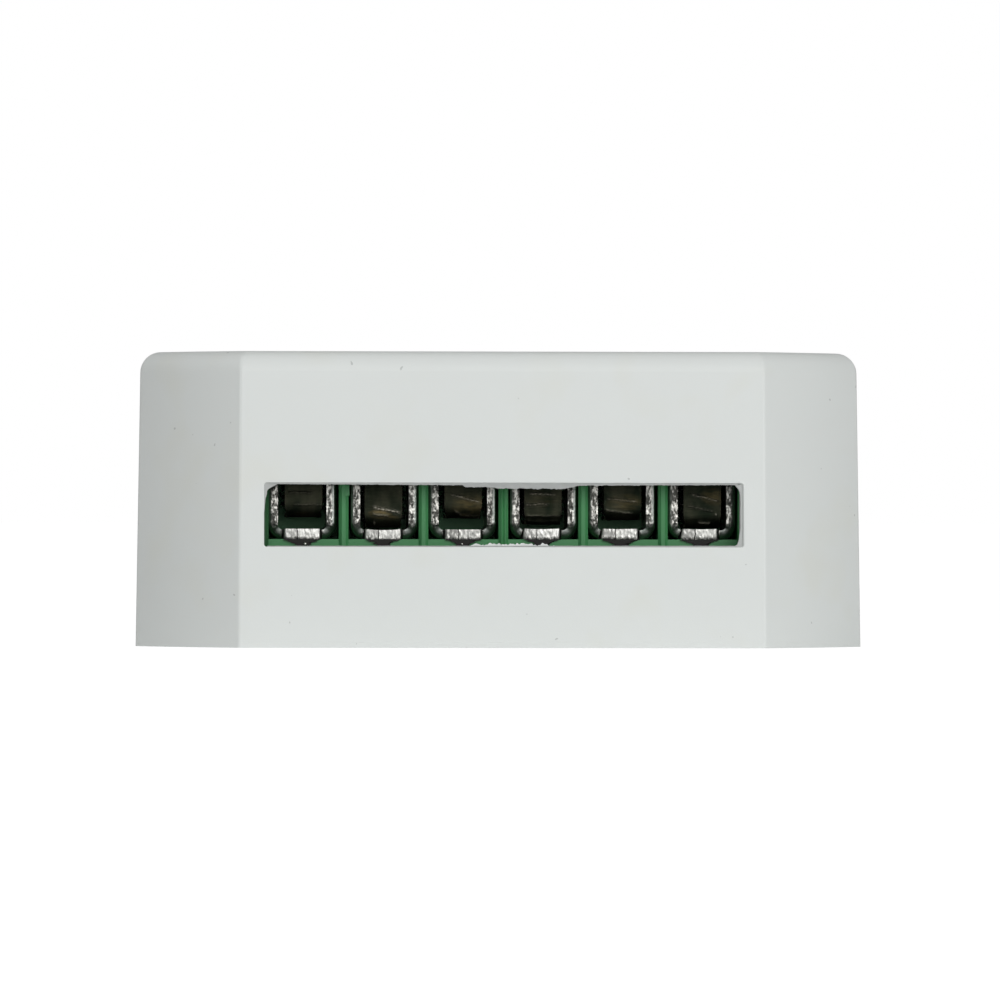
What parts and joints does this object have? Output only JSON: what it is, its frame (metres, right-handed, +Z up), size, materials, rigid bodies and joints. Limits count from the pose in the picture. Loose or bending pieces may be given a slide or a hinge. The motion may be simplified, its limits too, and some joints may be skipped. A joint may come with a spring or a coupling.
{
  "type": "energy meter",
  "caption": "Flush-mounting energy meter module: drafted white case with cut corners, and a row of green screw terminals in a window on one side.",
  "frame": {"origin": "centre of the underside, where the case's square outline at the foot has its middle", "axes": "+Z up through the roof, -Y out of the face with the terminals, +X to the right as one looks at that face"},
  "size_m": [0.0456, 0.0456, 0.0185],
  "materials": {
    "case_white": "fine satin moulding",
    "label_film": "matt film",
    "terminal_green": "moulded nylon",
    "clamp_tinned": "tin plate over steel, sheared edges bright",
    "guard_bronze": "dark tarnished bronze leaf",
    "screw_zinc": "zinc plate",
    "button_white": "fine satin moulding",
    "switch_black": "moulded nylon",
    "spring_steel": "stamped sheet",
    "light_clear": "moulded acrylic",
    "light_white": "moulded resin",
    "board_green": "solder mask over glass cloth laminate",
    "radio_blue": "solder mask over glass cloth laminate",
    "shield_steel": "folded tinned sheet",
    "can_aluminium": "drawn can",
    "ferrite_black": "fired ferrite under shrink sleeve",
    "varistor_blue": "dipped lacquer",
    "film_yellow": "moulded box",
    "fuse_green": "lacquered body",
    "chip_black": "moulded epoxy",
    "resistor_black": "glazed film",
    "ceramic_tan": "fired body",
    "solder_tin": "solder"
  },
  "bodies": {
    "meter": {"top_shell": "case_white", "base_cover": "case_white", "blank_label": "label_film", "terminal_block_left": "terminal_green", "terminal_block_right": "terminal_green", "wire_clamp_1": "clamp_tinned", "wire_clamp_2": "clamp_tinned", "wire_clamp_3": "clamp_tinned", "wire_clamp_4": "clamp_tinned", "wire_clamp_5": "clamp_tinned", "wire_clamp_6": "clamp_tinned", "switch_base": "switch_black", "switch_cover": "spring_steel", "switch_dome": "spring_steel", "light_pipe": "light_clear", "status_light": "light_white", "main_board": "board_green", "radio_board": "radio_blue", "radio_shield": "shield_steel", "timing_crystal": "shield_steel", "bulk_capacitor_1": "can_aluminium", "bulk_capacitor_2": "can_aluminium", "output_capacitor": "can_aluminium", "power_choke": "ferrite_black", "varistor": "varistor_blue", "film_capacitor": "film_yellow", "fuse_resistor": "fuse_green", "bridge_rectifier": "chip_black", "converter_chip": "chip_black", "meter_chip": "chip_black", "chip_resistors": "resistor_black", "chip_capacitors": "ceramic_tan", "solder_joints": "solder_tin"},
    "pairing_button": {"button_cap": "button_white", "switch_plunger": "switch_black"},
    "guard_1": {"wire_guard_1": "guard_bronze"},
    "screw_1": {"terminal_screw_1": "screw_zinc"},
    "guard_2": {"wire_guard_2": "guard_bronze"},
    "screw_2": {"terminal_screw_2": "screw_zinc"},
    "guard_3": {"wire_guard_3": "guard_bronze"},
    "screw_3": {"terminal_screw_3": "screw_zinc"},
    "guard_4": {"wire_guard_4": "guard_bronze"},
    "screw_4": {"terminal_screw_4": "screw_zinc"},
    "guard_5": {"wire_guard_5": "guard_bronze"},
    "screw_5": {"terminal_screw_5": "screw_zinc"},
    "guard_6": {"wire_guard_6": "guard_bronze"},
    "screw_6": {"terminal_screw_6": "screw_zinc"}
  },
  "joints": [
    {"name": "press_pairing_button", "type": "slide", "parent": "meter", "child": "pairing_button", "axis": [0, 0, -1], "range_m": [0, 0.00025], "stiffness_N_per_m": 600, "springref_m": -0.0005, "deforming": ["switch_dome"]},
    {"name": "turn_screw_1", "type": "hinge", "parent": "guard_1", "child": "screw_1", "pos_m": [-0.01235, -0.01711, 0.0125], "axis": [0, 0, 1], "range_deg": [-490, 1642]},
    {"name": "feed_screw_1", "type": "slide", "parent": "meter", "child": "guard_1", "axis": [0, 0, 1], "range_m": [-0.00068, 0.00228]},
    {"name": "turn_screw_2", "type": "hinge", "parent": "guard_2", "child": "screw_2", "pos_m": [-0.00735, -0.01711, 0.0125], "axis": [0, 0, 1], "range_deg": [-36, 2096]},
    {"name": "feed_screw_2", "type": "slide", "parent": "meter", "child": "guard_2", "axis": [0, 0, 1], "range_m": [-0.00005, 0.00291]},
    {"name": "turn_screw_3", "type": "hinge", "parent": "guard_3", "child": "screw_3", "pos_m": [-0.00235, -0.01711, 0.0125], "axis": [0, 0, 1], "range_deg": [-454, 1678]},
    {"name": "feed_screw_3", "type": "slide", "parent": "meter", "child": "guard_3", "axis": [0, 0, 1], "range_m": [-0.00063, 0.00233]},
    {"name": "turn_screw_4", "type": "hinge", "parent": "guard_4", "child": "screw_4", "pos_m": [0.00265, -0.01711, 0.0125], "axis": [0, 0, 1], "range_deg": [-180, 1952]},
    {"name": "feed_screw_4", "type": "slide", "parent": "meter", "child": "guard_4", "axis": [0, 0, 1], "range_m": [-0.00025, 0.00271]},
    {"name": "turn_screw_5", "type": "hinge", "parent": "guard_5", "child": "screw_5", "pos_m": [0.00765, -0.01711, 0.0125], "axis": [0, 0, 1], "range_deg": [-382, 1750]},
    {"name": "feed_screw_5", "type": "slide", "parent": "meter", "child": "guard_5", "axis": [0, 0, 1], "range_m": [-0.00053, 0.00243]},
    {"name": "turn_screw_6", "type": "hinge", "parent": "guard_6", "child": "screw_6", "pos_m": [0.01265, -0.01711, 0.0125], "axis": [0, 0, 1], "range_deg": [-22, 2110]},
    {"name": "feed_screw_6", "type": "slide", "parent": "meter", "child": "guard_6", "axis": [0, 0, 1], "range_m": [-0.00003, 0.00293]}
  ],
  "couplings": [
    {"joint": "turn_screw_1", "follows": "feed_screw_1", "rad_per_m": 12566},
    {"joint": "turn_screw_2", "follows": "feed_screw_2", "rad_per_m": 12566},
    {"joint": "turn_screw_3", "follows": "feed_screw_3", "rad_per_m": 12566},
    {"joint": "turn_screw_4", "follows": "feed_screw_4", "rad_per_m": 12566},
    {"joint": "turn_screw_5", "follows": "feed_screw_5", "rad_per_m": 12566},
    {"joint": "turn_screw_6", "follows": "feed_screw_6", "rad_per_m": 12566}
  ]
}
